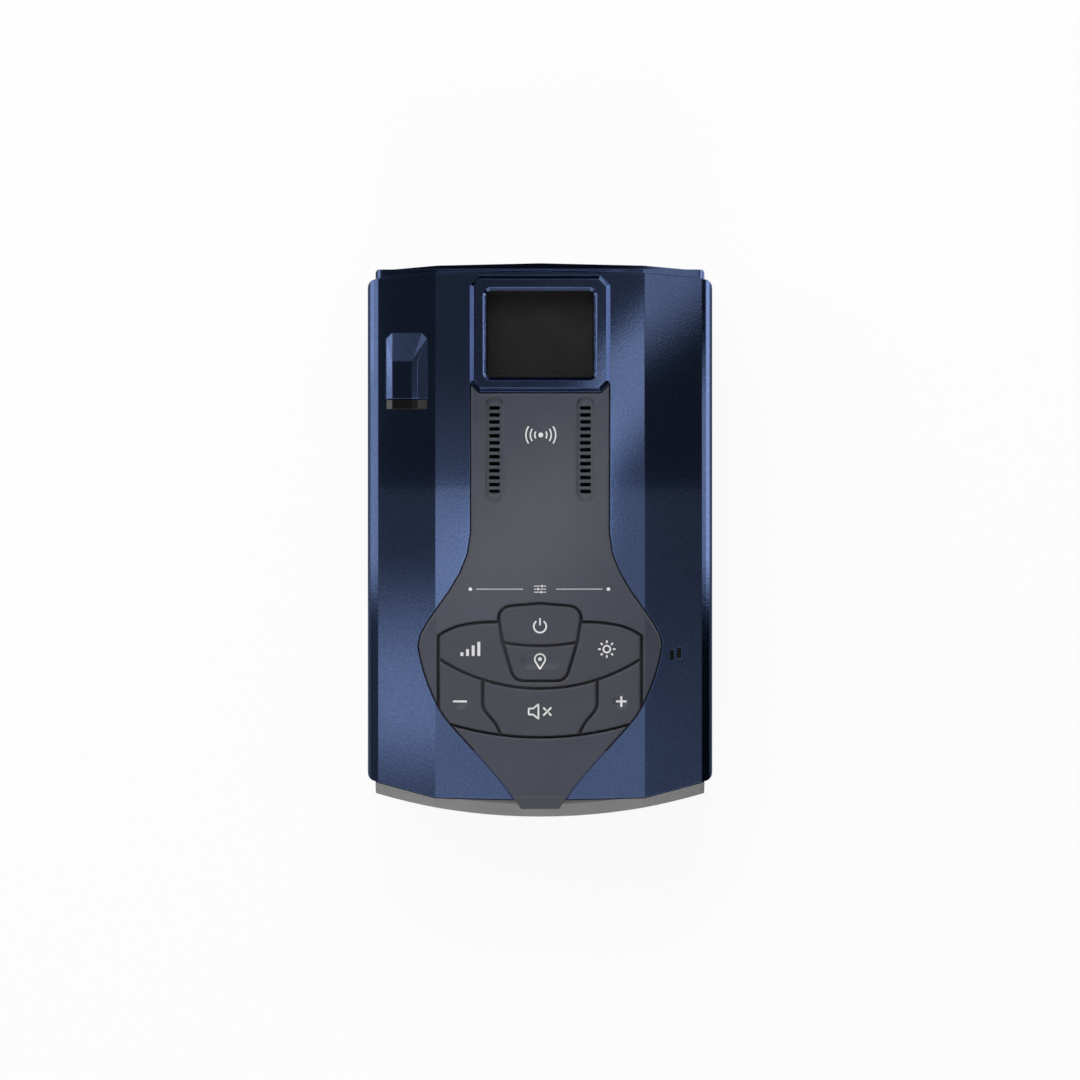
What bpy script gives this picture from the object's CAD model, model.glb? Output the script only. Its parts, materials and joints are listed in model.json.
# %% [markdown]
# # A radar detector, dressed for its portrait
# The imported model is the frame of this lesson: it holds every piece of the detector at its real
# size, in metres, and says which pieces move together. Nothing in it is moved here. The lesson
# gives each piece its finish, breaks the sharp edges, prints the signs on the keys, and sets up the
# studio. An empty file could be filled by hand, but starting from the frame means that each
# piece is already where it belongs.

# %% Load the frame
import json
import math

import bmesh
import bpy
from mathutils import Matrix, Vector
from mathutils.bvhtree import BVHTree

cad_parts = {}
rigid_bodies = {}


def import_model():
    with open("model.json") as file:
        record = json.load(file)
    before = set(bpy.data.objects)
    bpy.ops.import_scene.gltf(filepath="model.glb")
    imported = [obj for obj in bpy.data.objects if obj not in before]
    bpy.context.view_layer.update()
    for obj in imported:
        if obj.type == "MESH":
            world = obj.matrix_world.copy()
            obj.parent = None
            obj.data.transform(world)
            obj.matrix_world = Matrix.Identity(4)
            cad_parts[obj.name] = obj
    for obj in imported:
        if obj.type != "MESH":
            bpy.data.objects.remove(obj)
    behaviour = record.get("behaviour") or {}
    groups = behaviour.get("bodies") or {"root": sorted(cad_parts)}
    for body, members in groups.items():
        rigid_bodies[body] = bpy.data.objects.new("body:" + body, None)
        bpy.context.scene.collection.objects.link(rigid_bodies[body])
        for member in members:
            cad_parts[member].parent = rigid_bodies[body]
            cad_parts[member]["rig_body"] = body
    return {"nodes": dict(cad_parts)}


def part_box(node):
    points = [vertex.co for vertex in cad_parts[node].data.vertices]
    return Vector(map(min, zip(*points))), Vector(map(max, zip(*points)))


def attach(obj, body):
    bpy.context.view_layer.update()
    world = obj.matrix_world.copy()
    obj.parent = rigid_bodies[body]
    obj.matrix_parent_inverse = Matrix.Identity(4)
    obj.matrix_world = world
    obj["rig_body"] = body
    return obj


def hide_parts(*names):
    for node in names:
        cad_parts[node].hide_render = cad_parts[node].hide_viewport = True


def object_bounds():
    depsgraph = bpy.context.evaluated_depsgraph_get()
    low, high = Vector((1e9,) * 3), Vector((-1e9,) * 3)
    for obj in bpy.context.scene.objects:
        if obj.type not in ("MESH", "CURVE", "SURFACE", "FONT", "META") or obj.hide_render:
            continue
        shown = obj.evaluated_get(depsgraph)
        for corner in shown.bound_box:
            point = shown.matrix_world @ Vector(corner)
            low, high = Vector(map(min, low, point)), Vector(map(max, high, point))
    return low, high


for leftover in list(bpy.data.objects):
    bpy.data.objects.remove(leftover)
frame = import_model()
frame_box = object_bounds()
scene = bpy.context.scene
scene.view_settings.view_transform = "Standard"
MM = 0.001

# %% [markdown]
# ## The camera
# The portrait looks straight down on the keys, with the windscreen end at the top. A long lens far
# away keeps the sides of the case from showing, as in a catalogue picture. A camera with no
# rotation already looks down the Z axis with Y up, so only its height has to be worked out: the
# picture is as wide as the lens sees at the level of the roof.

# %% Camera
PICTURE_WIDTH = 0.2689
ROOF_LEVEL = 0.030
lens = bpy.data.cameras.new("portrait_lens")
lens.lens = 200
lens.sensor_width = 36
lens.clip_end = 50
camera = bpy.data.objects.new("portrait_camera", lens)
camera.location = (0, 0, ROOF_LEVEL + PICTURE_WIDTH * lens.lens / lens.sensor_width)
scene.collection.objects.link(camera)
scene.camera = camera
print("camera height in metres:", round(camera.location.z, 3))

# %% [markdown]
# ## Shader sums as Python sums
# A finish is a small sum: a colour here, a little more roughness there. Adding each Math node by
# hand hides the sum, so one class wraps an output socket, and plus, minus, times and divide on it
# add the node. Colours go through a Mix node, because a Math node would turn them grey.

# %% Wire


def plug(socket, value):
    """Links a wire to a socket, or writes a plain value there; a colour is three numbers."""
    if isinstance(value, Wire):
        value.tree.links.new(value.socket, socket)
    elif socket.type == "RGBA":
        socket.default_value = (*value, 1.0)
    else:
        socket.default_value = value


class Wire:
    """One output socket of a material, with sums written as Python sums."""

    def __init__(self, socket):
        self.socket = socket
        self.tree = socket.id_data

    def node(self, kind, settings=None, inputs=None, output=0):
        """Adds any node: its settings first, then its sockets, then one of its outputs."""
        made = self.tree.nodes.new(kind)
        for name, value in (settings or {}).items():
            setattr(made, name, value)
        for name, value in (inputs or {}).items():
            plug(made.inputs[name], value)
        return Wire(made.outputs[output])

    def math(self, operation, first, second=0.0):
        """Adds one Math node."""
        return self.node("ShaderNodeMath", {"operation": operation}, {0: first, 1: second})

    def __add__(self, other):
        return self.math("ADD", self, other)

    def __sub__(self, other):
        return self.math("SUBTRACT", self, other)

    def __rsub__(self, other):
        return self.math("SUBTRACT", other, self)

    def __mul__(self, other):
        return self.math("MULTIPLY", self, other)

    def __truediv__(self, other):
        return self.math("DIVIDE", self, other)

    def __rtruediv__(self, other):
        return self.math("DIVIDE", other, self)

    __radd__ = __add__
    __rmul__ = __mul__

    def rise(self, start, end):
        """0 before start, 1 after end, and a soft slope between them."""
        limits = {"Value": self, "From Min": start, "From Max": end}
        return self.node("ShaderNodeMapRange", {"interpolation_type": "SMOOTHSTEP"}, limits)

    def pick(self, low, high):
        """The colour low where this wire is 0, and high where it is 1."""
        return self.node("ShaderNodeMix", {"data_type": "RGBA"}, {0: self, 6: low, 7: high}, 2)

    def noise(self, size, detail=2.0):
        """Cloudy grain whose spots are about this many metres wide."""
        sockets = {"Vector": self, "Scale": 1 / size, "Detail": detail}
        return self.node("ShaderNodeTexNoise", {}, sockets)

    def stretch(self, x, y, z):
        """A place with each axis multiplied by its own number."""
        return self.node("ShaderNodeVectorMath", {"operation": "MULTIPLY"}, {0: self, 1: (x, y, z)})

    def along(self, axis):
        """One axis of a place: 0 is X, 1 is Y and 2 is Z."""
        return self.node("ShaderNodeSeparateXYZ", {}, {0: self}, axis)

    def repeat(self, width):
        """Climbs from 0 to 1 across every stretch of this width, and starts again."""
        return self.math("FRACT", self / width)


print("sums ready: + - * / on wires, and rise, pick, noise, stretch, along, repeat")

# %% [markdown]
# ## How a finish starts
# Every finish is one Principled shader. Its pattern is laid out in the object's own coordinates,
# which are metres in this frame, so a grain of a fifth of a millimetre is written as just that.
# Moulded and painted edges are never razor sharp: a Bevel node rounds the shading across each edge
# by a fraction of a millimetre, and the grain is pressed on top of it with a Bump node.

# %% Finish starter


def start_finish(name, **sockets):
    """A new material with plain socket values, its shader and its place wire."""
    material = bpy.data.materials.new(name)
    material.use_nodes = True
    shader = material.node_tree.nodes["Principled BSDF"]
    for socket, value in sockets.items():
        plug(shader.inputs[socket.replace("_", " ")], value)
    coordinates = material.node_tree.nodes.new("ShaderNodeTexCoord")
    return material, shader, Wire(coordinates.outputs["Object"])


def dress(shader, place, colour, rough, height, depth, edge):
    """Gives a shader its colour, its roughness, rounded edges and a grain of this depth."""
    plug(shader.inputs["Base Color"], colour)
    plug(shader.inputs["Roughness"], rough)
    rounded = place.node("ShaderNodeBevel", {"samples": 6}, {"Radius": edge})
    sockets = {"Strength": 1.0, "Distance": depth, "Height": height, "Normal": rounded}
    plug(shader.inputs["Normal"], place.node("ShaderNodeBump", {}, sockets))


PAINTED_EDGE = 0.3 * MM
MOULDED_EDGE = 0.25 * MM
KEY_EDGE = 0.8 * MM
print("edge rounding in mm:", PAINTED_EDGE / MM, MOULDED_EDGE / MM, KEY_EDGE / MM)

# %% [markdown]
# ## Metallic blue paint
# The upper case is moulded in plastic and sprayed: a dark blue base full of tiny aluminium flakes,
# then a clear coat. The flakes reflect like blue metal, so Metallic is full, and the clear coat
# adds a second, sharper gloss. A photograph of it wrapped on the case would fix one light for
# ever; flakes and orange peel from noise take any light.

# %% Blue paint


def make_paint():
    """Blue metal flakes under a clear coat with a fine orange peel."""
    material, shader, place = start_finish(
        "blue_paint", Metallic=1.0, Coat_Weight=0.5, Coat_Roughness=0.03, Coat_IOR=1.5,
        Specular_Tint=(0.42, 0.5, 0.75),
    )
    flakes = place.noise(0.22 * MM, 1.0)
    peel = place.noise(0.6 * MM, 1.0)
    drift = place.noise(14 * MM, 2.0)
    shade = flakes * 0.2 + peel * 0.65 + drift * 0.15
    colour = shade.rise(0.32, 0.68).pick((0.043, 0.071, 0.166), (0.060, 0.097, 0.212))
    dress(shader, place, colour, flakes * 0.05 + 0.08, peel, 0.009 * MM, PAINTED_EDGE)
    return material


blue_paint = make_paint()
print("finish:", blue_paint.name)

# %% [markdown]
# ## Satin grey plastic
# The centre panel, the keys and the display bezel are bare moulded plastic, sparked to a fine
# satin in the mould. One recipe serves them all with a different grey: the tone drifts a little,
# fine specks make the satin, and places that fingers rub are slightly smoother. The panel also has
# two columns of vent slots. Light that falls into a slot hardly comes out again, so below the
# panel's face the slots are nearly black.

# %% Satin plastics


def make_satin(
    name, low, high, rough,
    grain=0.18 * MM, depth=0.006 * MM, edge=MOULDED_EDGE, rub=0.14, shade=None,
):
    """Satin plastic between two tones; rub is how far rubbing changes the roughness."""
    material, shader, place = start_finish(name, Specular_IOR_Level=0.45)
    specks = place.noise(grain, 3.0)
    rubbed = place.noise(9 * MM, 3.0)
    colour = (specks * 0.55 + rubbed * 0.45).rise(0.32, 0.68).pick(low, high)
    if shade:
        colour = shade(place).pick(colour, (0.004, 0.004, 0.005))
    dress(shader, place, colour, rubbed * rub + (rough - rub / 2), specks, depth, edge)
    return material


STRAIGHT_HALF = (13.8 * MM, 14.0 * MM)
STRAIGHT_START = (5.0 * MM, 6.0 * MM)
SLOT_MOUTH = (32.4 * MM, 32.8 * MM)


def in_slots(place):
    """1 in the depth of the vent slots, below the face of the panel's straight upper part."""
    across = place.along(0) * place.along(0)
    straight = 1 - across.rise(STRAIGHT_HALF[0] ** 2, STRAIGHT_HALF[1] ** 2)
    straight = straight * place.along(1).rise(*STRAIGHT_START)
    return straight * (1 - place.along(2).rise(*SLOT_MOUTH))


panel_satin = make_satin(
    "panel_satin", (0.036, 0.040, 0.057), (0.045, 0.050, 0.070), 0.31, edge=KEY_EDGE,
    rub=0.05, shade=in_slots,
)
key_satin = make_satin(
    "key_satin", (0.031, 0.033, 0.047), (0.038, 0.041, 0.058), 0.44, edge=KEY_EDGE
)
bezel_satin = make_satin("bezel_satin", (0.245, 0.246, 0.243), (0.285, 0.286, 0.282), 0.40)
print("finishes:", panel_satin.name, key_satin.name, bezel_satin.name)

# %% [markdown]
# ## Textured black plastic
# The lower case, the dock tray and the sockets are black plastic with a coarser etched texture,
# which hides scratches. The texture is a cell pattern mixed with noise, deep enough to catch light
# when the part is seen from a low angle.

# %% Black plastics


ROUGH_SPREAD = 0.16


def make_black(name, low, high, rough, cell, depth, gloss=0.4):
    """Black plastic with an etched texture of cells of this width."""
    material, shader, place = start_finish(name, Specular_IOR_Level=gloss)
    pits = place.node("ShaderNodeTexVoronoi", {}, {"Vector": place, "Scale": 1 / cell})
    cloud = place.noise(6 * MM, 3.0)
    colour = (cloud * 0.6 + pits * 0.4).rise(0.25, 0.75).pick(low, high)
    roughness = cloud * ROUGH_SPREAD + (rough - ROUGH_SPREAD / 2)
    texture = pits + place.noise(cell * 0.6, 2.0)
    dress(shader, place, colour, roughness, texture, depth, MOULDED_EDGE)
    return material


case_black = make_black(
    "case_black", (0.010, 0.010, 0.011), (0.018, 0.018, 0.019), 0.55, 0.5 * MM, 0.03 * MM
)
tray_black = make_black(
    "tray_black", (0.006, 0.006, 0.007), (0.011, 0.011, 0.012), 0.5, 0.4 * MM, 0.02 * MM,
    gloss=0.16,
)
socket_black = make_black(
    "socket_black", (0.010, 0.010, 0.010), (0.017, 0.017, 0.018), 0.4, 0.3 * MM, 0.01 * MM
)
plunger_black = make_black(
    "plunger_black", (0.014, 0.014, 0.014), (0.024, 0.024, 0.025), 0.5, 0.2 * MM, 0.01 * MM
)
print("finishes:", case_black.name, tray_black.name, socket_black.name, plunger_black.name)

# %% [markdown]
# ## Smoked lenses
# The display window and the two laser windows are clear plastic dyed so dark that the parts behind
# them hardly show. They could be made as real dark glass, but at this thickness it renders black,
# so an opaque near-black with a hard gloss is the same picture with less work. The faint mottle is
# the flow of the plastic in the mould. Behind the display window, the part in front of the screen
# is a shade lighter than the black print round it.

# %% Smoked lens
DRIVER_END = (-50 * MM, -40 * MM)
WINDOW_EDGE = 0.3 * MM


def inside(wire, low, high, soft):
    """1 where a wire is between low and high, with soft edges."""
    return wire.rise(low, low + soft) * (1 - wire.rise(high - soft, high))


def make_lens():
    """Dark glossy plastic, a shade lighter in front of the screen at the driver's end."""
    material, shader, place = start_finish("smoked_lens", Specular_IOR_Level=0.4, Coat_Weight=0.2)
    screen_low, screen_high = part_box("display_module")
    window = inside(place.along(0), screen_low.x, screen_high.x, WINDOW_EDGE)
    window = window * inside(place.along(2), screen_low.z, screen_high.z, WINDOW_EDGE)
    window = window * (1 - place.along(1).rise(*DRIVER_END))
    flow = place.stretch(1, 1, 0.3).noise(8 * MM, 2.0)
    print_black = flow.rise(0.3, 0.7).pick((0.005, 0.004, 0.005), (0.009, 0.007, 0.008))
    colour = window.pick(print_black, (0.016, 0.017, 0.022))
    dress(shader, place, colour, flow * 0.05 + 0.04, flow, 0.004 * MM, MOULDED_EDGE)
    return material


smoked_lens = make_lens()
print("finish:", smoked_lens.name)

# %% [markdown]
# ## Metals
# Five metals are inside: bright steel for the screws and shells, cast zinc for the horns and the
# speaker frame, dull tin on the shield can, gold plating on the contacts, and nickel on the magnets.
# Steel shows fine rolling lines, so its noise is stretched along one axis; cast metal is sandy, so
# its noise is round and its bump is deeper.

# %% Metals


METAL_EDGE = 0.12 * MM


def make_metal(name, low, high, rough, grain, stretch, depth):
    """Bare metal between two tones, whose grain may be drawn out along an axis."""
    material, shader, place = start_finish(name, Metallic=1.0)
    lines = place.stretch(*stretch).noise(grain, 3.0)
    stain = place.noise(7 * MM, 2.0)
    colour = (lines * 0.5 + stain * 0.5).rise(0.3, 0.7).pick(low, high)
    roughness = lines * ROUGH_SPREAD + (rough - ROUGH_SPREAD / 2)
    dress(shader, place, colour, roughness, lines, depth, METAL_EDGE)
    return material


bright_steel = make_metal(
    "bright_steel", (0.44, 0.44, 0.43), (0.58, 0.58, 0.57), 0.38, 0.3 * MM, (1, 0.06, 1),
    0.006 * MM,
)
cast_zinc = make_metal(
    "cast_zinc", (0.36, 0.36, 0.36), (0.50, 0.50, 0.49), 0.48, 0.4 * MM, (1, 1, 1), 0.02 * MM
)
dull_tin = make_metal(
    "dull_tin", (0.20, 0.20, 0.19), (0.28, 0.28, 0.27), 0.5, 0.4 * MM, (1, 1, 1), 0.01 * MM
)
contact_gold = make_metal(
    "contact_gold", (0.62, 0.43, 0.15), (0.74, 0.53, 0.20), 0.2, 0.3 * MM, (0.1, 1, 1),
    0.004 * MM,
)
magnet_nickel = make_metal(
    "magnet_nickel", (0.42, 0.40, 0.37), (0.55, 0.53, 0.49), 0.2, 0.5 * MM, (1, 1, 1),
    0.004 * MM,
)
print("finishes:", bright_steel.name, cast_zinc.name, dull_tin.name)
print("finishes:", contact_gold.name, magnet_nickel.name)

# %% [markdown]
# ## Boards and what sits on them
# A circuit board is green lacquer over copper tracks, which show through as paler lines. The board
# is cut into equal lanes along both axes, with a track in each lane. A cloudy pattern of patches
# says where the tracks run along the board and where they run across it. Chips are matt black
# epoxy, and the satellite antenna is a block of pale ceramic.

# %% Board lacquer


def make_board():
    """Green lacquer with tracks in lanes that run along and across the board."""
    material, shader, place = start_finish("board_lacquer", Specular_IOR_Level=0.3)
    weave = place.noise(0.4 * MM, 1.0)
    lanes = place.along(0).repeat(1.6 * MM)
    rows = place.along(1).repeat(2.1 * MM)
    patch = place.noise(5 * MM, 0.0)
    lane = lanes.rise(0.35, 0.40) * (1 - lanes.rise(0.60, 0.65)) * patch.rise(0.48, 0.50)
    row = rows.rise(0.35, 0.40) * (1 - rows.rise(0.55, 0.60)) * (1 - patch.rise(0.44, 0.46))
    track = lane + row
    lacquer = weave.rise(0.3, 0.7).pick((0.010, 0.060, 0.030), (0.014, 0.078, 0.040))
    colour = track.pick(lacquer, (0.040, 0.150, 0.075))
    dress(shader, place, colour, weave * 0.1 + 0.5, track + weave * 0.2, 0.02 * MM, 0.08 * MM)
    return material


board_lacquer = make_board()
chip_epoxy = make_satin("chip_epoxy", (0.016, 0.016, 0.017), (0.028, 0.028, 0.030), 0.6)
antenna_ceramic = make_satin(
    "antenna_ceramic", (0.52, 0.46, 0.36), (0.64, 0.58, 0.47), 0.5, 0.5 * MM
)
print("finishes:", board_lacquer.name, chip_epoxy.name, antenna_ceramic.name)

# %% [markdown]
# ## Soft and small materials
# The speaker cone is pressed paper pulp, its gasket is open foam, the display's flat cable is amber
# film with copper lines, and the light guide is a rod of clear plastic, dyed so dark that its two
# slots in the case look black. Each has its own grain: fibres for the paper, pores for the foam,
# stripes for the film.

# %% Paper, foam, film and the dyed rod


def make_paper():
    """Pressed paper pulp with short fibres."""
    material, shader, place = start_finish("cone_paper", Specular_IOR_Level=0.2)
    fibres = place.stretch(1, 0.25, 1).noise(0.25 * MM, 4.0)
    colour = fibres.rise(0.3, 0.7).pick((0.020, 0.019, 0.018), (0.048, 0.046, 0.043))
    dress(shader, place, colour, fibres * 0.2 + 0.7, fibres, 0.05 * MM, 0.1 * MM)
    return material


def make_foam():
    """Black foam with open pores."""
    material, shader, place = start_finish("gasket_foam", Specular_IOR_Level=0.15)
    pores = place.node("ShaderNodeTexVoronoi", {}, {"Vector": place, "Scale": 1 / (0.45 * MM)})
    colour = pores.rise(0.1, 0.6).pick((0.010, 0.010, 0.011), (0.046, 0.046, 0.050))
    dress(shader, place, colour, pores * 0.1 + 0.82, pores, 0.12 * MM, 0.15 * MM)
    return material


def make_film():
    """Amber film with a copper line in every lane."""
    material, shader, place = start_finish("amber_film", Coat_Weight=0.4, Coat_Roughness=0.1)
    stripe = place.along(0).repeat(0.8 * MM).rise(0.42, 0.5)
    flow = place.noise(3 * MM, 1.0)
    film = flow.rise(0.3, 0.7).pick((0.30, 0.115, 0.018), (0.38, 0.155, 0.030))
    colour = stripe.pick(film, (0.46, 0.22, 0.09))
    dress(shader, place, colour, flow * 0.1 + 0.3, stripe, 0.01 * MM, 0.05 * MM)
    return material


def make_rod():
    """Plastic dyed so dark that its ends look black."""
    material, shader, place = start_finish(
        "dyed_rod", Transmission_Weight=0.2, IOR=1.49, Specular_IOR_Level=0.05
    )
    flow = place.noise(2 * MM, 1.0)
    colour = flow.rise(0.3, 0.7).pick((0.004, 0.004, 0.004), (0.008, 0.008, 0.007))
    dress(shader, place, colour, flow * 0.08 + 0.06, flow, 0.004 * MM, 0.1 * MM)
    return material


cone_paper = make_paper()
gasket_foam = make_foam()
amber_film = make_film()
dyed_rod = make_rod()
print("finishes:", cone_paper.name, gasket_foam.name, amber_film.name, dyed_rod.name)

# %% [markdown]
# ## A finish for every piece of the frame
# The record names a material slot for each piece. One table says which finish stands for which
# slot, so no piece is forgotten, and a piece that is hidden inside is dressed as well as one that
# shows.

# %% Finishes by slot
FINISHES = {
    "cover_blue": blue_paint,
    "panel_grey": panel_satin,
    "key_grey": key_satin,
    "bezel_grey": bezel_satin,
    "black_plastic": case_black,
    "plunger_black": plunger_black,
    "smoked_lens": smoked_lens,
    "board_green": board_lacquer,
    "steel": bright_steel,
    "cast_metal": cast_zinc,
    "magnet_iron": magnet_nickel,
    "antenna_ceramic": antenna_ceramic,
    "chip_black": chip_epoxy,
    "clear_guide": dyed_rod,
    "paper_cone": cone_paper,
    "foam": gasket_foam,
    "flex_amber": amber_film,
}
OWN_FINISHES = {
    "dock_tray": tray_black,
    "shield_can": dull_tin,
    "power_jack": socket_black,
    "audio_jack": socket_black,
}
slot_of = {}
for name, node in frame["nodes"].items():
    slot_of[name] = node.material_slots[0].material.name
    node.material_slots[0].material = OWN_FINISHES.get(name, FINISHES[slot_of[name]])
print("dressed pieces:", len(slot_of), "own finishes:", len(OWN_FINISHES))

# %% [markdown]
# ## Smooth where it is moulded smooth
# A frame piece is stored as separate flat triangles, so a rounded edge shows its facets. Each piece
# is copied, its triangles are merged back into whole faces, and the shading is smoothed over narrow
# faces only: a narrow face belongs to a rounding, and two wide faces that meet make a real crease.
# The laser hood is small but sharp, so every edge of it is a crease. Weighted normals then keep the
# wide faces flat.

# %% Creases
CREASE = math.radians(4)
HARD_CORNER = math.radians(38)
NARROW = 0.88 * MM
HOOD_LENGTH = 17 * MM
HOOD_FOOT = ROOF_LEVEL - 1 * MM
hood_low, hood_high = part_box("rear_laser_lens")
hood_high.y += HOOD_LENGTH


def on_hood(point):
    """True on the outside of the laser hood, which stands behind its lens."""
    within = all(low < value < high for low, value, high in zip(hood_low, point, hood_high))
    return within and point.z > HOOD_FOOT


def breadth(face):
    """About how wide a long thin face is, in metres."""
    return 2 * face.calc_area() / face.calc_perimeter()


def is_crease(edge):
    """True where the shading breaks along an edge."""
    if len(edge.link_faces) != 2:
        return True
    turn = edge.calc_face_angle(0.0)
    narrowest = min(breadth(face) for face in edge.link_faces)
    sharp = narrowest > NARROW or on_hood((edge.verts[0].co + edge.verts[1].co) / 2)
    return turn > HARD_CORNER or (turn > CREASE and sharp)


print("hood length in mm:", round((hood_high.y - hood_low.y) / MM, 1))

# %% [markdown]
# A mesh is worked on in memory and becomes an object only when it is done. One helper does that
# last step for every piece of the lesson, so that each piece gets its name and its finish in the
# same way.

# %% Smoothed copies
SAME_POINT = 0.001 * MM
SAME_PLANE = math.radians(0.4)
WIDE_FACE_WEIGHT = 92


def to_object(name, work, finish):
    """Turns a worked mesh into an object of the scene with one finish."""
    mesh = bpy.data.meshes.new(name)
    work.to_mesh(mesh)
    work.free()
    mesh.materials.append(finish)
    made = bpy.data.objects.new(name, mesh)
    scene.collection.objects.link(made)
    return made


def smoothed(name):
    """A copy of a frame piece with whole faces and even shading, which stands for it."""
    source = frame["nodes"][name]
    work = bmesh.new()
    work.from_mesh(source.data)
    bmesh.ops.remove_doubles(work, verts=work.verts, dist=SAME_POINT)
    bmesh.ops.dissolve_limit(work, angle_limit=SAME_PLANE, verts=work.verts, edges=work.edges)
    for face in work.faces:
        face.smooth = True
    for edge in work.edges:
        edge.smooth = not is_crease(edge)
    skin = to_object(name + "_skin", work, source.material_slots[0].material)
    even = skin.modifiers.new("even_shading", "WEIGHTED_NORMAL")
    even.keep_sharp = True
    even.weight = WIDE_FACE_WEIGHT
    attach(skin, source["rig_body"])
    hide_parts(name)
    return skin


screw_names = [name for name in sorted(frame["nodes"]) if name.startswith("case_screw")]
skins = {name: smoothed(name) for name in sorted(frame["nodes"]) if name not in screw_names}
print("smoothed pieces:", len(skins), "screws still to cut:", len(screw_names))

# %% [markdown]
# ## Case screws
# Four screws hold the two halves together from below. A real one is headed and then rolled: the
# head gets a tapered cross for the driver, and the thread is a ridge that climbs once round for
# each pitch. A screw could be a library part, but the ridge is one short sum: how far a point's
# height is ahead of its angle says how close it is to the crest.

# %% Thread
PITCH = 0.9
ROOT_RADIUS = 0.95
CREST = 0.24
CREST_SLOPE = 1.4
THREAD_START = 2.2
THREAD_END = 17.9


def thread_radius(height, angle):
    """The radius of the thread in millimetres at a height and an angle."""
    ahead = (height / PITCH - angle / math.tau) % 1.0
    ridge = max(0.0, 1 - abs(2 * ahead - 1) * CREST_SLOPE)
    fade = min(1.0, (height - THREAD_START) / PITCH, (THREAD_END + PITCH - height) / PITCH)
    return ROOT_RADIUS + CREST * ridge * max(0.0, fade)


print("thread in mm: pitch", PITCH, "from", THREAD_START, "to", THREAD_END)

# %% [markdown]
# The body is made as on a lathe, from loops of points round the axis, joined one to the next. The
# driver's cross is two outlines of its own, a wide one at the face of the head and a narrower one
# at the bottom of the recess.

# %% Loops and outlines
ROUND = 20


def turned(work, radius_at, height):
    """A loop of points round the axis at one height."""
    loop = []
    for step in range(ROUND):
        angle = math.tau * step / ROUND
        radius = radius_at(angle)
        loop.append(work.verts.new((radius * math.cos(angle), radius * math.sin(angle), height)))
    return loop


def cross(work, reach, half, height):
    """A loop of points round the driver's cross, a quarter at a time."""
    loop = []
    for quarter in range(4):
        turn = math.radians(90 * quarter)
        for x, y in ((reach, -half), (reach, half), (half, half)):
            loop.append(work.verts.new((x * math.cos(turn) - y * math.sin(turn),
                                        x * math.sin(turn) + y * math.cos(turn), height)))
    return loop


def join(work, lower, upper):
    """Faces between two loops of as many points."""
    count = len(lower)
    for index in range(count):
        after = (index + 1) % count
        work.faces.new((lower[index], lower[after], upper[after], upper[index]))


def loop_edges(work, loop):
    """The edges round a loop; those that no face has made yet are added."""
    pairs = list(zip(loop, loop[1:] + loop[:1]))
    return [work.edges.get(pair) or work.edges.new(pair) for pair in pairs]


print("points in a loop:", ROUND)

# %% [markdown]
# Head, thread and tip are joined from bottom to top, and the face of the head is filled between its
# rim and the mouth of the cross.

# %% Screws
HEAD_PROFILE = ((1.95, 0.0), (2.25, 0.1), (2.39, 0.35), (2.39, 1.85), (2.3, 1.98), (1.1, 1.99))
CROSS_MOUTH = (1.4, 0.34, 0.0)
CROSS_FLOOR = (0.8, 0.22, 1.2)
ROWS_PER_PITCH = 5
TIP_RADIUS = 0.25
SCREW_LENGTH = 18.98


def screw_body():
    """One screw in millimetres, head down, with its axis on Z."""
    work = bmesh.new()
    loops = [turned(work, lambda angle, r=radius: r, height) for radius, height in HEAD_PROFILE]
    rows = math.ceil((THREAD_END - THREAD_START) / PITCH * ROWS_PER_PITCH)
    for row in range(rows + 1):
        height = THREAD_START + (THREAD_END - THREAD_START) * row / rows
        loops.append(turned(work, lambda angle, h=height: thread_radius(h, angle), height))
    loops.append(turned(work, lambda angle: TIP_RADIUS, SCREW_LENGTH))
    for lower, upper in zip(loops, loops[1:]):
        join(work, lower, upper)
    work.faces.new(loops[-1])
    mouth, recess = cross(work, *CROSS_MOUTH), cross(work, *CROSS_FLOOR)
    join(work, mouth, recess)
    work.faces.new(recess)
    rims = loop_edges(work, loops[0]) + loop_edges(work, mouth)
    bmesh.ops.triangle_fill(work, use_beauty=True, edges=rims)
    bmesh.ops.recalc_face_normals(work, faces=work.faces)
    return work


def finished(name, work, finish):
    """Turns a worked mesh into a piece of the housing with its own finish."""
    for face in work.faces:
        face.smooth = True
    for edge in work.edges:
        edge.smooth = len(edge.link_faces) == 2 and edge.calc_face_angle(0.0) < HARD_CORNER
    piece = to_object(name, work, finish)
    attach(piece, "housing")
    return piece


for name in screw_names:
    low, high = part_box(name)
    foot = Vector(((low.x + high.x) / 2, (low.y + high.y) / 2, low.z))
    work = screw_body()
    for vertex in work.verts:
        vertex.co = vertex.co * MM + foot
    skins[name] = finished(name + "_cut", work, bright_steel)
    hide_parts(name)
print("screws cut:", len(screw_names), "faces in one:", len(skins[screw_names[0]].data.polygons))

# %% [markdown]
# ## Contacts in the sockets
# A socket without contacts looks like a hole. The power socket has four gold-plated springs that
# slant down from the roof of its bore, the audio socket has a nickelled lining, and the tongue of
# the data socket carries five gold strips. Springs and strips are flat wire, so each is a short
# path seen from the side with a width across it.

# %% Springs and strips
POWER_JACK_Y = 34
SPRING_PATH = [(39.9, 18.98), (38.6, 18.95), (38.0, 18.8), (33.4, 17.0), (32.8, 16.9), (31.6, 17.3)]
SPRING_SPACING = 1.02
DATA_SOCKET_Y = 7
TONGUE_PATH = [(36.0, 19.57), (40.15, 19.57)]
TONGUE_SPACING = 0.65


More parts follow.
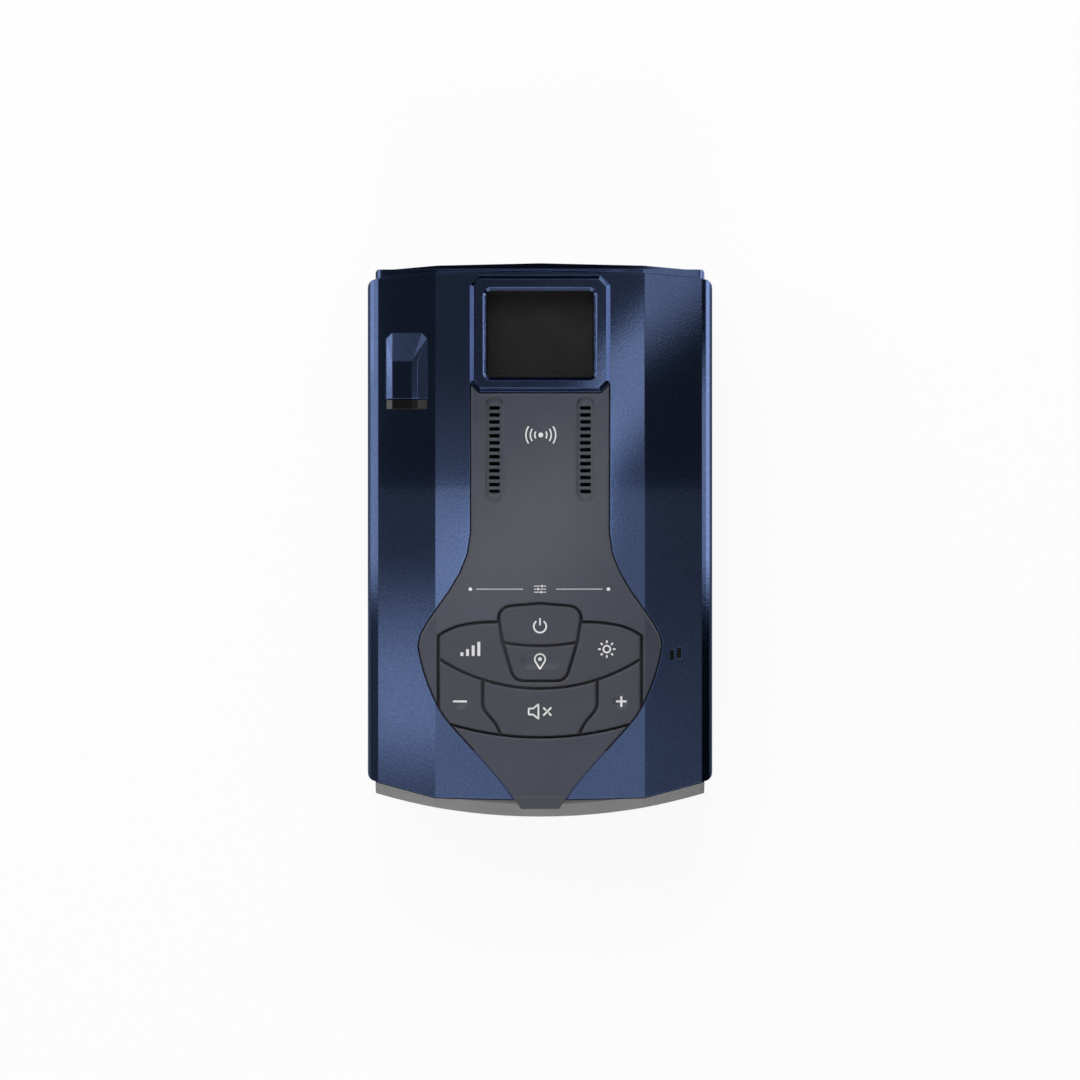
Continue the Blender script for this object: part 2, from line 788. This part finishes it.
def add_strip(work, path, middle, width, thick):
    """Adds a bent strip: the path runs in X and Z, and the width lies along Y."""
    loops = []
    for index, (x, z) in enumerate(path):
        before, after = path[max(index - 1, 0)], path[min(index + 1, len(path) - 1)]
        along = (Vector(after) - Vector(before)).normalized() * (thick / 2)
        loop = []
        for up, out in ((1, 1), (1, -1), (-1, -1), (-1, 1)):
            corner = Vector((x - up * along.y, middle + out * width / 2, z + up * along.x))
            loop.append(work.verts.new(corner * MM))
        loops.append(loop)
    for lower, upper in zip(loops, loops[1:]):
        join(work, lower, upper)
    work.faces.new(loops[0])
    work.faces.new(loops[-1])


def strips(name, path, middles, width, thick):
    """Several strips of the same shape as one gold piece."""
    work = bmesh.new()
    for middle in middles:
        add_strip(work, path, middle, width, thick)
    bmesh.ops.recalc_face_normals(work, faces=work.faces)
    return finished(name, work, contact_gold)


spring_places = [POWER_JACK_Y + SPRING_SPACING * step for step in (-1.5, -0.5, 0.5, 1.5)]
springs = strips("power_jack_springs", SPRING_PATH, spring_places, 0.5, 0.2)
tongue_places = [DATA_SOCKET_Y + TONGUE_SPACING * step for step in (-2, -1, 0, 1, 2)]
tongue = strips("usb_contacts", TONGUE_PATH, tongue_places, 0.35, 0.04)
print("contacts:", springs.name, len(spring_places), tongue.name, len(tongue_places))

# %% [markdown]
# The lining of the audio socket is a thin sleeve with a rounded lip. It is drawn as a closed outline
# of distances along the bore and radii, and turned once round the axis of the socket.

# %% Lining
AUDIO_JACK_Y = 19
AUDIO_JACK_Z = 17.85
LINING_ROUND = 32
LINING = ((37.0, 1.79), (42.3, 1.79), (42.36, 1.75), (42.3, 1.68), (37.0, 1.68))


def bore_loop(work, x, radius):
    """A loop of points round the axis of the audio socket."""
    loop = []
    for step in range(LINING_ROUND):
        angle = math.tau * step / LINING_ROUND
        y = AUDIO_JACK_Y + radius * math.cos(angle)
        z = AUDIO_JACK_Z + radius * math.sin(angle)
        loop.append(work.verts.new(Vector((x, y, z)) * MM))
    return loop


work = bmesh.new()
lining_loops = [bore_loop(work, x, radius) for x, radius in LINING]
for lower, upper in zip(lining_loops, lining_loops[1:] + lining_loops[:1]):
    join(work, lower, upper)
bmesh.ops.recalc_face_normals(work, faces=work.faces)
lining = finished("audio_jack_lining", work, magnet_nickel)
print("lining:", lining.name, "faces:", len(lining.data.polygons))

# %% [markdown]
# ## Signs printed on the keys
# The keys carry small pale signs, pad printed: a soft pad picks up ink and presses it on, so the
# print follows each dish. Every sign is drawn here as a few strokes, each stroke is cut into short
# strips, and each corner of a strip is dropped straight down onto the piece below it. The signs are
# the usual ones for such keys, drawn afresh.

# %% Ink


def make_ink():
    """Pale ink with a fine print screen and a little wear."""
    material, shader, place = start_finish("pad_ink", Specular_IOR_Level=0.3)
    screen = place.noise(0.12 * MM, 2.0)
    wear = place.noise(1.5 * MM, 3.0)
    colour = (screen * 0.4 + wear * 0.6).rise(0.3, 0.6)
    plug(shader.inputs["Base Color"], colour.pick((0.66, 0.66, 0.67), (0.78, 0.78, 0.78)))
    plug(shader.inputs["Roughness"], wear * 0.15 + 0.48)
    return material


pad_ink = make_ink()
print("ink:", pad_ink.name)

# %% [markdown]
# A stroke is a line with a width, cut into steps short enough to follow a dish. Lines and arcs are
# written in millimetres from the middle of the sign.

# %% Strokes and dots
INK_STEP = 0.2
ARC_STEP = 12


def cut_short(points, closed):
    """The same line in millimetres, with a point at least every INK_STEP."""
    line = list(points) + ([points[0]] if closed else [])
    cut = []
    for start, end in zip(line, line[1:]):
        count = max(1, math.ceil(math.dist(start, end) / INK_STEP))
        for step in range(count):
            share = step / count
            cut.append(tuple(a + (b - a) * share for a, b in zip(start, end)))
    return cut if closed else cut + [line[-1]]


def stroke_sides(points, width, closed):
    """The two sides of a stroke of this width along a line."""
    count = len(points)
    sides = []
    for index, point in enumerate(points):
        before = points[index - 1] if index or closed else point
        after = points[(index + 1) % count] if index + 1 < count or closed else point
        along = Vector(after) - Vector(before)
        across = Vector((-along.y, along.x)).normalized() * (width / 2)
        sides.append((Vector(point) + across, Vector(point) - across))
    return sides


def add_stroke(work, points, width, closed=False):
    """Adds one flat stroke to a sign."""
    sides = stroke_sides(cut_short(points, closed), width, closed)
    pairs = [[work.verts.new((p.x, p.y, 0)) for p in pair] for pair in sides]
    ends = pairs[1:] + ([pairs[0]] if closed else [])
    for (left, right), (next_left, next_right) in zip(pairs, ends):
        work.faces.new((left, right, next_right, next_left))


def ring(centre, radius, start, end):
    """Points on an arc, in millimetres and degrees."""
    count = max(8, int(abs(end - start) / ARC_STEP))
    angles = [math.radians(start + (end - start) * step / count) for step in range(count + 1)]
    return [
        (centre[0] + radius * math.cos(angle), centre[1] + radius * math.sin(angle))
        for angle in angles
    ]


def add_dot(work, centre, radius):
    """Adds one round spot to a sign."""
    middle = work.verts.new((*centre, 0))
    rim = [work.verts.new((*point, 0)) for point in ring(centre, radius, 0, 360)[:-1]]
    for start, end in zip(rim, rim[1:] + rim[:1]):
        work.faces.new((middle, start, end))


print("ink step in mm:", INK_STEP, "arc step in degrees:", ARC_STEP)

# %% [markdown]
# Each sign is laid on the key at its own place, and rides on the key's body, so it goes down with
# the key when it is pressed.

# %% Lay a sign on a piece
INK_LIFT = 0.02 * MM
DROP_HEIGHT = 50 * MM
DOWN = Vector((0, 0, -1))


def lay_sign(name, node, centre, strokes, dots=()):
    """Prints strokes and dots, in millimetres from a centre, on top of a frame piece."""
    work = bmesh.new()
    for points, width, closed in strokes:
        add_stroke(work, points, width, closed)
    for spot, radius in dots:
        add_dot(work, spot, radius)
    surface = frame["nodes"][node].data
    corners = [vertex.co for vertex in surface.vertices]
    below = BVHTree.FromPolygons(corners, [polygon.vertices for polygon in surface.polygons])
    for corner in work.verts:
        x, y = (corner.co.x + centre[0]) * MM, (corner.co.y + centre[1]) * MM
        hit = below.ray_cast(Vector((x, y, DROP_HEIGHT)), DOWN)[0]
        corner.co = (x, y, hit.z + INK_LIFT)
    bmesh.ops.recalc_face_normals(work, faces=work.faces)
    sign = to_object(name, work, pad_ink)
    if sum(polygon.normal.z for polygon in sign.data.polygons) < 0:
        sign.data.flip_normals()
    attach(sign, frame["nodes"][node]["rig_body"])
    return sign


def bar(x0, y0, x1, y1, width=0.42):
    """One straight stroke."""
    return ([(x0, y0), (x1, y1)], width, False)


power_arc = (ring((0, -0.15), 1.55, 125, 415), 0.42, False)
plus_bars = [bar(-1.3, 0, 1.3, 0, 0.5), bar(0, -1.3, 0, -0.25, 0.5), bar(0, 0.25, 0, 1.3, 0.5)]
signs = [
    lay_sign("sign_power", "power_key", (0, -21.3), [power_arc, bar(0, 0.1, 0, 1.9)]),
    lay_sign("sign_minus", "volume_down_key", (-19.9, -40.1), [bar(-1.75, 0, 1.75, 0, 0.5)]),
    lay_sign("sign_plus", "volume_up_key", (20.2, -40.1), plus_bars),
]
print("signs so far:", len(signs))

# %% [markdown]
# A place mark, signal bars, a sun and a crossed-out loudspeaker stand for marking a place,
# sensitivity, brightness and muting.

# %% The other key signs
BAR_FOOT = -1.7
BAR_HEIGHTS = ((-2.1, 0.9), (-0.7, 1.7), (0.7, 2.6), (2.1, 3.5))
RAY_START, RAY_END = 1.5, 2.15


def sun_ray(turn):
    """One ray of the sun at this angle."""
    x, y = math.cos(turn), math.sin(turn)
    return bar(RAY_START * x, RAY_START * y, RAY_END * x, RAY_END * y)


pin_outline = (ring((0, 0.5), 1.3, -35, 215) + [(0, -1.95)], 0.4, True)
pin_hole = ((0, 0.5), 0.48)
signal_bars = [bar(x, BAR_FOOT, x, BAR_FOOT + height, 0.72) for x, height in BAR_HEIGHTS]
sun = [sun_ray(math.radians(45 * step)) for step in range(8)]
sun.append((ring((0, 0), 0.85, 0, 348), 0.42, True))
horn = [(-2.8, -0.75), (-1.7, -0.75), (-0.4, -1.8), (-0.4, 1.8), (-1.7, 0.75), (-2.8, 0.75)]
loudspeaker = [
    (horn, 0.44, True), bar(0.8, -1.0, 2.8, 1.0, 0.46),
    bar(0.8, 1.0, 1.5, 0.3, 0.46), bar(2.1, -0.3, 2.8, -1.0, 0.46),
]
signs += [
    lay_sign("sign_place", "mark_key", (0, -30.1), [pin_outline], [pin_hole]),
    lay_sign("sign_signal", "rocker_key", (-17.3, -27.1), signal_bars),
    lay_sign("sign_sun", "rocker_key", (16.6, -27.1), sun),
    lay_sign("sign_mute", "mute_key", (0, -42.6), loudspeaker),
]
print("signs so far:", len(signs))

# %% [markdown]
# On the panel a fine rule with two end dots and a small slider sign stands above the keys, and a
# sign with waves on both sides stands between the sound vents, over the satellite antenna.

# %% Panel prints
SLIDERS = ((0.75, 0.5), (0.0, -0.5), (-0.75, 0.3))
KNOB_GAP = 0.42
slider_rows = []
for height, knob in SLIDERS:
    slider_rows.append(bar(-1.5, height, knob - KNOB_GAP, height, 0.2))
    slider_rows.append(bar(knob + KNOB_GAP, height, 1.5, height, 0.2))
knobs = [((knob, height), 0.3) for height, knob in SLIDERS]
rules = [bar(-15.9, 0, -4.2, 0, 0.16), bar(4.0, 0, 15.5, 0, 0.16)]
rule_ends = [((-17.3, 0), 0.45), ((17.0, 0), 0.45)]
waves = [
    (ring((0, 0), radius, start, start + 70), 0.36, False)
    for radius in (1.5, 2.6, 3.7) for start in (-35, 145)
]
signs += [
    lay_sign("sign_settings", "center_panel", (0, -12.2), rules + slider_rows, rule_ends + knobs),
    lay_sign("sign_antenna", "center_panel", (0.2, 26.1), waves, [((0, 0), 0.6)]),
]
print("signs printed:", len(signs))

# %% [markdown]
# ## The studio
# The part stands on a pale floor in a white studio. To the camera the floor and the far background
# are plain white, and glossy and clear surfaces see that white too. Part of the floor's brightness
# is ordinary reflected light, so the part still leaves a soft shadow. Seen from below the floor is
# clear, so the underside can be looked at.

# %% Floor and background
FLOOR_REACH = 8.0
FLOOR_GAP = 0.02 * MM
SHADOW_SHARE = 0.08
AMBIENT = 0.2


def seen_white(tree):
    """1 for rays that should see the plain white background."""
    path = tree.nodes.new("ShaderNodeLightPath")
    first = Wire(path.outputs["Is Camera Ray"])
    rest = Wire(path.outputs["Is Glossy Ray"]) + Wire(path.outputs["Is Transmission Ray"])
    return (first + rest).rise(0.0, 1.0)


def make_floor_finish():
    """Pale paper that glows white to the camera, and is clear from below."""
    material = bpy.data.materials.new("studio_floor")
    material.use_nodes = True
    tree = material.node_tree
    tree.nodes.clear()
    white = seen_white(tree)
    paper = white.node("ShaderNodeBsdfDiffuse", {}, {"Color": (0.86, 0.86, 0.86)})
    glow = white.node("ShaderNodeEmission", {}, {"Color": (1, 1, 1), "Strength": 1.0})
    lit = white.node("ShaderNodeMixShader", {}, {0: white * (1 - SHADOW_SHARE), 1: paper, 2: glow})
    clear = white.node("ShaderNodeBsdfTransparent")
    back = Wire(tree.nodes.new("ShaderNodeNewGeometry").outputs["Backfacing"])
    both = white.node("ShaderNodeMixShader", {}, {0: back, 1: lit, 2: clear})
    plug(tree.nodes.new("ShaderNodeOutputMaterial").inputs["Surface"], both)
    return material


def card(name, width, depth, place, turn, material):
    """A flat card of the studio, which isn't part of the detector."""
    work = bmesh.new()
    bmesh.ops.create_grid(work, x_segments=1, y_segments=1, size=0.5)
    flat = to_object(name, work, material)
    flat.scale = (width, depth, 1)
    flat.location = place
    flat.rotation_euler = turn
    return flat


floor_place = (0, 0, frame_box[0].z - FLOOR_GAP)
floor = card("floor", FLOOR_REACH * 2, FLOOR_REACH * 2, floor_place, (0, 0, 0), make_floor_finish())
world = scene.world or bpy.data.worlds.new("studio")
scene.world = world
world.use_nodes = True
world.node_tree.nodes.clear()
sky_white = seen_white(world.node_tree)
sky_tone = sky_white * (1 - AMBIENT) + AMBIENT
sky = sky_white.node("ShaderNodeBackground", {}, {"Color": sky_tone, "Strength": 1.0})
plug(world.node_tree.nodes.new("ShaderNodeOutputWorld").inputs["Surface"], sky)
print("stage:", floor.name, "reach in metres:", FLOOR_REACH)

# %% [markdown]
# ## Soft boxes
# A large soft box at the left lights the part, and a weak one at the right keeps that side from going
# black. A smaller one at the windscreen end gives the dents in the keys their shade, and one at the
# driver's end lights the display and its bezel. Together they light the part at a plain level, at
# which a colour renders about as it is written.

# %% Lamps


def soft_box(name, place, width, depth, power):
    """A soft rectangular lamp that looks at the middle of the part."""
    lamp = bpy.data.lights.new(name, "AREA")
    lamp.shape = "RECTANGLE"
    lamp.size = width
    lamp.size_y = depth
    lamp.energy = power
    holder = bpy.data.objects.new(name, lamp)
    holder.location = place
    holder.rotation_euler = (-Vector(place)).to_track_quat("-Z", "Y").to_euler()
    scene.collection.objects.link(holder)
    return holder


lamps = [
    soft_box("left_box", (-1.2, 0.6, 1.0), 1.2, 0.9, 9.5),
    soft_box("right_box", (1.2, 0.6, 1.0), 1.2, 0.9, 1.2),
    soft_box("windscreen_box", (-0.1, 1.1, 0.9), 0.8, 0.5, 13.0),
    soft_box("driver_box", (0, -1.3, 0.7), 0.8, 0.6, 6.5),
]
print("soft boxes:", len(lamps))

# %% [markdown]
# ## A tent for the paint to look at
# Metallic paint has hardly any colour of its own: it shows what is round it. Photographers build a
# small tent of dark and pale cards for such parts. The cards here are seen only in reflections, and
# each one glows by a small sum of two distances from its middle, in millimetres.

# %% Tent cards
TENT_HALF = 0.21
TENT_HEIGHT = 0.16
DARK = 0.02


def tent_card(name, width, depth, place, turn, pattern):
    """A card seen only by glossy surfaces, whose glow is a pattern across and along it."""
    material = bpy.data.materials.new(name)
    material.use_nodes = True
    tree = material.node_tree
    tree.nodes.clear()
    spot = Wire(tree.nodes.new("ShaderNodeTexCoord").outputs["Object"])
    pale = pattern(spot.along(0) * (width / MM), spot.along(1) * (depth / MM))
    glow = spot.node("ShaderNodeEmission", {}, {"Color": pale, "Strength": 1.0})
    plug(tree.nodes.new("ShaderNodeOutputMaterial").inputs["Surface"], glow)
    flat = card(name, width, depth, place, turn, material)
    for kind in ("camera", "diffuse", "shadow", "transmission", "volume_scatter"):
        setattr(flat, "visible_" + kind, False)
    return flat


print("tent in metres:", TENT_HALF * 2, "wide and", TENT_HEIGHT, "high")

# %% [markdown]
# The roof of the tent is what the top shows. Seen from straight above, each strip of the case looks
# up at a column of the roof of its own, so the roof is drawn column by column: one for each sloping
# facet first. A crisp border crosses them all a little above the middle, and the far end glows.

# %% Roof over the facets


def border(up):
    """1 on the driver's side of the border that crosses the roof."""
    return 1 - up.rise(13.9, 14.5)


def far_end(up):
    """1 beyond the windscreen end of the case."""
    return up.rise(95, 120)


def left_column(side, up):
    """Over the left facet: a bright pool beside the keys, and dark towards the windscreen."""
    pool = (1 - up.rise(-42, -2)) * 1.13 - (1 - up.rise(-72, -46)) * 0.9
    return (pool + border(up) * 0.14 + far_end(up) * 0.2 + 0.05) * side.rise(-138, -117)


def right_column(side, up):
    """Over the right facet: dark, with a bright corner cut at a slant at the windscreen end."""
    corner = (up - (side - 108) * 0.7).rise(50, 72) * 0.9
    glow = corner + (1 - up.rise(-70, 0)) * 0.14 + border(up) * 0.13 + 0.05
    return glow * (1 - side.rise(116, 134) * (1 - far_end(up)))


print("columns over the facets:", left_column.__name__, right_column.__name__)

# %% [markdown]
# The flat top has two halves, left and right of the panel. The left half is pale below the border,
# and a flash, cut at a slant, lies over the right of the dock. The panel between them shows a
# broad glare with the same slant.

# %% Roof over the flat top


def left_half(up):
    """Over the flat top at the left."""
    glow = (1 - up.rise(10, 50)) * 0.25 + (1 - up.rise(-8, 12)) * 0.35
    glow = glow - (1 - up.rise(-55, -15)) * 0.6
    return glow + border(up) * 0.75 + far_end(up) * 0.8 + 0.13


def right_half(side, up, slant):
    """Over the flat top at the right, with the flash."""
    flash = (1 - slant.rise(29, 43)) * slant.rise(-7, 15)
    flash = flash * side.rise(8, 20) * (1 - side.rise(34, 46)) * 1.25
    glow = flash + (1 - up.rise(10, 40)) * 0.15 + (1 - up.rise(-60, 0)) * 0.2
    return glow + border(up) * 0.3 + far_end(up) * 0.8 + 0.17


def middle_column(side, up):
    """Over the flat top: the two halves and the panel."""
    slant = up - side * 0.9
    to_right = side.rise(-6, 6)
    halves = left_half(up) * (1 - to_right) + right_half(side, up, slant) * to_right
    panel = (1 - (side * side).rise(240, 320)) * (1 - up.rise(34, 38)) * up.rise(-45, -35)
    glare = slant.rise(-26, -4) * (1 - slant.rise(12, 34)) * 3.4
    return halves * (1 - panel) + panel * (glare + 0.1)


print("columns over the flat top:", left_half.__name__, right_half.__name__)

# %% [markdown]
# The rounded shoulders look out to the rims of the roof, which are pale beside the upper half of the
# case. With these the columns are put side by side on one card.

# %% Tent roof


def beside_upper_half(up):
    """1 beside the upper half of the case, and 0 beside the lower half."""
    return up.rise(-22, -4)


def shoulder_columns(side, up):
    """Over the rounded shoulders, left and right."""
    upper = beside_upper_half(up)
    left = (1 - side.rise(-165, -112)) * (upper * 1.4 + 0.12)
    return left + side.rise(120, 190) * upper * (1 - up.rise(35, 60)) * 1.3


def roof_glow(side, up):
    """The roof card's glow, column by column."""
    left = 1 - side.rise(-62, -52)
    right = (side + up.rise(58, 64) * 32).rise(84, 94)
    near_end = 1 - up.rise(-120, -95)
    columns = left * left_column(side, up) + right * right_column(side, up)
    columns = columns + (1 - left - right) * middle_column(side, up)
    return DARK + columns + shoulder_columns(side, up) + near_end * 0.8


tent = [
    tent_card("tent_roof", TENT_HALF * 2, TENT_HALF * 2, (0, 0, TENT_HEIGHT), (0, 0, 0), roof_glow)
]
print("tent cards:", len(tent))

# %% [markdown]
# The walls of the tent are what the steeper part of the edges shows: pale beside the upper half of
# the case, dark beside the lower half, and dark in front of the nose except at its right.

# %% Tent walls
QUARTER = math.radians(90)


def left_glow(side, up):
    """Pale beside the upper half, and less so at the foot of the wall."""
    foot = (1 - up.rise(-42, -36)) * (1 - side.rise(40, 50))
    return beside_upper_half(side) * (1 - foot * 0.4) * (1.84 - up * 0.004) + 0.16


def right_glow(side, up):
    """The palest wall beside the upper half, and dark beside the lower half."""
    return DARK + side.rise(-22, -2) * (2.6 - up * 0.002)


def windscreen_glow(side, up):
    """Dark in front of the nose, and pale at its right."""
    return side.rise(30, 70) * 1.2 + up * 0.0001 + 0.03


def driver_glow(side, up):
    """Pale, and more so towards its two ends."""
    return (side * side).rise(400, 4000) * 0.6 + up * 0.001 + 0.6


for name, place, turn, pattern in (
    ("tent_left", (-TENT_HALF, 0, TENT_HEIGHT / 2), (QUARTER, 0, QUARTER), left_glow),
    ("tent_right", (TENT_HALF, 0, TENT_HEIGHT / 2), (QUARTER, 0, QUARTER), right_glow),
    ("tent_windscreen", (0, TENT_HALF, TENT_HEIGHT / 2), (QUARTER, 0, 0), windscreen_glow),
    ("tent_driver", (0, -TENT_HALF, TENT_HEIGHT / 2), (QUARTER, 0, 0), driver_glow),
):
    tent.append(tent_card(name, TENT_HALF * 2, TENT_HEIGHT, place, turn, pattern))
print("tent cards:", len(tent))

# %% [markdown]
# The steepest part of the edges looks down at the floor. A flag lies there along each side of the
# case: it is dark beside the lower half, and paler with distance beside the upper half, so that
# the edges keep their shape down to the rim.

# %% Floor flags
FLAG_START = 0.045
FLAG_WIDTH = TENT_HALF - FLAG_START
FLAG_HEIGHT = 0.5 * MM
FLAG_HALF = FLAG_WIDTH / 2 / MM


def flag_glow(away, up, low, fall):
    """A flag's glow: dark beside the lower half, and paler with distance beside the upper half."""
    upper = beside_upper_half(up)
    return upper * (away * 0.009 + 0.15) + (1 - upper) * (low - away * fall)


def left_flag(side, up):
    """The left flag, whose distance from the case grows to the left."""
    return flag_glow(FLAG_HALF - side, up, 0.42, 0.0017)


def right_flag(side, up):
    """The right flag, darker than the left one, with a pale end at the windscreen."""
    return flag_glow(FLAG_HALF + side, up, 0.3, 0.0012) + up.rise(62, 74) * 1.1


for name, side, pattern in (("flag_left", -1, left_flag), ("flag_right", 1, right_flag)):
    place = (side * (FLAG_START + FLAG_WIDTH / 2), 0, FLAG_HEIGHT)
    tent.append(tent_card(name, FLAG_WIDTH, TENT_HALF * 2, place, (0, 0, 0), pattern))
print("tent cards:", len(tent))

# %% [markdown]
# ## Measure and close
# The dressed part has to be as large as the frame, so both boxes are written down and compared,
# and the last line checks that every piece rides on a body.

# %% Size and close
print("frame size in mm:", [round(value * 1000, 2) for value in frame_box[1] - frame_box[0]])
